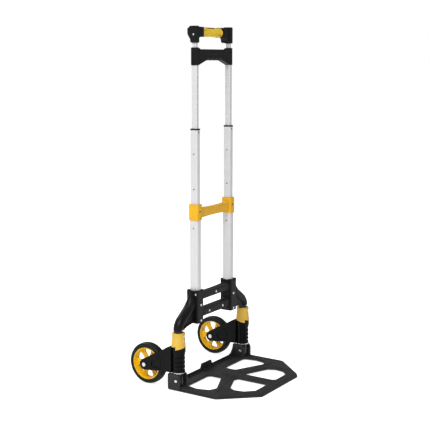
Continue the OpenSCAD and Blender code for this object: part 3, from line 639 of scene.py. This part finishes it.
def openings(grow):
    """The rear and front openings of both sides, each grown outward."""
    def grown(corners):
        cx = sum(c[0] for c in corners) / len(corners)
        cy = sum(c[1] for c in corners) / len(corners)
        out = []
        for x, y, r in corners:
            d = Vector((x - cx, y - cy))
            d = d * (1 + grow / d.length)
            out.append((cx + d.x, cy + d.y, r + grow * 0.5))
        return rounded(out, 8)
    right = [grown([(42, -17, 14), (165, -17, 14), (174, -60, 40), (164, -97, 12),
                    (138, -106, 8), (42, -62, 10)]),
             grown([(20, -110, 8), (36, -105, 8), (112, -137, 8), (124, -160, 12),
                    (119, -190, 12), (94, -215, 10), (20, -215, 12)])]
    return right + [[(-x, y) for x, y in loop] for loop in right]


def toe_plate():
    shape = Shape()
    # the deck steps down round each opening
    shape.join(slab(plate_edge(1.6), 5.2, 11, 1.5, openings(3.2)))
    shape.join(slab(plate_edge(2.4), 3.2, 9.4, 1.0, openings(0)))
    shape.join(slab(plate_edge(0), 0, 5.6, 1.0, [plate_edge(7)]))
    # the edge's raised border, a step in from the rim
    shape.join(slab(plate_edge(4.5), 10.2, 11.9, 0.7, [plate_edge(9.5)]))
    half = Shape()
    # ribs from the middle out to the sides, between the openings
    half.join(slab(rounded([(6, -84, 3), (22, -92, 3), (150, -124, 3), (168, -128, 3),
                            (168, -122, 3), (152, -116, 3), (34, -86, 3), (14, -74, 3)]),
                   10, 12.2, 0.9))
    half.join(slab(rounded([(14, -66, 3), (30, -70, 3), (34, -10, 3), (22, -6, 3)]), 10, 12, 0.9))
    half.join(slab(rounded([(6, -100, 2), (11, -100, 2), (11, -232, 2), (6, -232, 2)]),
                   10, 11.9, 0.8))
    half.join(slab(rounded([(128, -146, 3), (178, -136, 3), (186, -146, 4), (138, -206, 4),
                            (130, -196, 3)]), 10, 11.8, 0.8))
    # the ears either side of the leg, each with a well and a ring for the pin's head
    ear = [(-18.5, 3), (-18.5, 33.7)] + arc(-0.2, 33.7, 18.3, 172, 90, 10)
    ear += [(22, 52), (25, 48.5), (25, 3)]
    well = arc(PIVOT_Y, PIVOT_Z, 8.2, 0, 350, 28)
    ring = [(8.4, 21.6), (9.6, 21.6), (9.8, 22.5), (9.6, 23.1), (8.6, 23.1), (8.2, 22.5)]
    for side in (1, -1):
        half.join(slab(ear, 15, 21.6, 1.0), about_x(LEG_X, 0, 0, side))
        half.join(slab(ear, 20.2, 22.8, 0.8, [well]), about_x(LEG_X, 0, 0, side))
        half.join(lathe(ring, 40, about_x(LEG_X, PIVOT_Y, PIVOT_Z, side), closed=True))
    # the wall along the back, its tab, and a foot bead where it meets the deck
    half.join(slab(rounded([(-2, 6, 0), (163, 6, 0), (163, 19.5, 2), (32, 19.5, 3), (26.5, 33, 3),
                            (-2, 33, 0)]), 20.2, 25, 1.2), along_y)
    half.join(slab(rounded([(-2, 8, 0), (163, 8, 0), (163, 14, 1.5), (-2, 14, 0)]),
                   15.5, 21.5, 1.4), along_y)
    half.join(slab([(132, 8), (170, 8), (170, 50), (163, 47), (157, 34), (148, 24), (132, 18.5)],
                   19, 25, 1.2), along_y)
    # a pad under each leg, and two stiffeners under the deck
    half.join(slab(round_rect(40, 36, 3, cx=LEG_X, cy=5), 9, 12.4, 1.0))
    shape.join(half).join(half, mirrored)
    shape.join(slab(round_rect(396, 20, 2, cy=8), 0, 5, 0.8))
    return shape.join(slab(round_rect(8, 240, 2, cy=-122), 1, 5, 0.8))


piece("toe_plate_moulding", toe_plate(), "toe_plate", PLATE, ("toe_plate",))


# ---------------------------------------------------------------- grips

def lower_grip():
    shape = Shape()
    half = Shape().join(slab(round_rect(18, 20.6, 3.8, cx=MAST_X), 966, 1017.4, 1.2,
                             [round_rect(12.6, 19.1, 3, cx=MAST_X)]))
    half.join(slab(round_rect(15.5, 18, 3.4, cx=MAST_X), 1014, 1018, 0.8,
                   [round_rect(9.2, 15.2, 2.5, cx=MAST_X)]))
    # a dome beside each socket
    half.join(lathe([(0, 1012), (5.5, 1012), (5.5, 1013.6), (4.6, 1015.2), (3, 1016), (0, 1016.2)],
                    24, lambda v: (v[0] + 74, v[1], v[2])))
    shape.join(half).join(half, mirrored)
    # the bar, with waves for four fingers beneath
    fingers = 4
    wave = [(44 * (2 * t - 1), 983 - 3.0 * math.cos(2 * math.pi * fingers * t))
            for t in (i / 48 for i in range(49))]
    outline = [(-84, 1013), (-84, 966.6)] + wave + [(84, 966.6), (84, 1013)]
    shape.join(slab(outline, -9.4, 9.4, 1.8), along_y)
    # a raised panel on the front and the back of the bar
    panel = rounded([(-84, 1013, 0), (-84, 968, 0), (-78, 974, 4), (-63, 996, 10), (0, 997.5, 60),
                     (63, 996, 10), (78, 974, 4), (84, 968, 0), (84, 1013, 0)])
    shape.join(slab(panel, -10.4, -8.2, 0.9), along_y)
    return shape.join(slab(panel, 8.2, 10.4, 0.9), along_y)


def upper_grip():
    shape = Shape()
    profile = rounded([(-10, 1032, 2), (10, 1032, 2), (11.5, 1040, 4), (22, 1057, 5),
                       (22.3, 1073, 5), (12, 1081, 4), (-10, 1081, 3)], 6)
    half = Shape().join(slab(profile, MAST_X - 9, MAST_X + 9, 1.6), along_x)
    half.join(slab(round_rect(15, 17, 3, cx=MAST_X), 1031.4, 1033, 0.5,
                   [round_rect(9.2, 15.2, 2.5, cx=MAST_X)]))
    bridge = [(54, 1078.6), (86, 1078.6), (86, 1033)] + arc(68.4, 1034, 15, 0, 90, 12)
    half.join(slab(bridge + [(54, 1049)], -7.5, 22, 3.2, res=3), along_y)
    half.join(slab(round_rect(8, 25, 8, cx=56.6, cy=8), 1049.6, 1077.4, 2.0))
    return shape.join(half).join(half, mirrored)


def sleeve():
    """The soft sleeve: end lips, finger waves beneath, fine ribs and a well for the button."""
    angles = sorted([360 * j / 44 for j in range(44)] + [61, 61.6, 118.4, 119])
    xs = sorted([i - SLEEVE_HALF for i in range(107)] + [-22.5, -22.4, 22.4, 22.5])
    finger, rib = 21, 3
    loops = []
    for x in xs:
        edge = SLEEVE_HALF - abs(x)
        lip = math.exp(-((edge - 2.2) / 1.7) ** 2) - 1.3 * max(0, 1 - edge / 1.2) ** 2
        inner = max(0.0, min(1.0, (46 - abs(x)) / 5))
        loop = []
        for deg in angles:
            a = math.radians(deg)
            under = max(0.0, -math.sin(a + 0.25)) ** 1.2
            r = GRIP_R + lip - 0.75 * inner * under * (1 + math.cos(2 * math.pi * x / finger))
            r += 0.12 * inner * math.sin(2 * math.pi * x / rib)
            y, z = r * math.cos(a), r * math.sin(a)
            if abs(x) < 22.45 and 61.3 < deg < 118.7:
                z = 5.5
            loop.append((x, GRIP_Y + y, GRIP_Z + z))
        loops.append(loop)
    return rings(loops)


def button():
    """A ribbed cap on a foot."""
    shape = slab(round_rect(44, 12, 3.5, cy=GRIP_Y), 1071, 1077, 1.6, res=3)
    for x in (-15, -9, -3, 3, 9, 15):
        shape.join(slab(round_rect(1.6, 8, 0.7, cx=x, cy=GRIP_Y), 1076, 1077.5, 0.4))
    return shape.join(slab(round_rect(40, 4, 1, cy=GRIP_Y), 1063, 1072, 0.4))


def springs():
    """Two coil springs under the button's links."""
    turns, per_turn, coil_r, wire_r, rise = 6, 24, 1.9, 0.32, 5.7
    shape = Shape()
    for x in (-SPRING_X, SPRING_X):
        loops = []
        for i in range(turns * per_turn + 1):
            a = 2 * math.pi * i / per_turn
            z = SPRING_FOOT + 0.4 + rise * i / (turns * per_turn)
            wire = [(coil_r + wire_r * math.cos(b), wire_r * math.sin(b))
                    for b in (2 * math.pi * k / 6 for k in range(6))]
            loops.append([(x + r * math.cos(a), GRIP_Y + r * math.sin(a), z + up)
                          for r, up in wire])
        shape.join(rings(loops))
    return shape


piece("lower_grip_moulding", lower_grip(), "lower_handle", BLACK,
      ("lower_grip_front", "lower_grip_rear"))
piece("upper_grip_moulding", upper_grip(), "upper_handle", BLACK, ("upper_grip",))
piece("grip_sleeve", sleeve(), "upper_handle", GRIP, ("upper_grip_sleeve",),
      angle=60)
coils = piece("release_coils", springs(), "upper_handle", STEEL,
              ("release_spring",))
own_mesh(coils)
piece("button_cap", button(), "release", GLOSS_BLACK, ("release_button",))
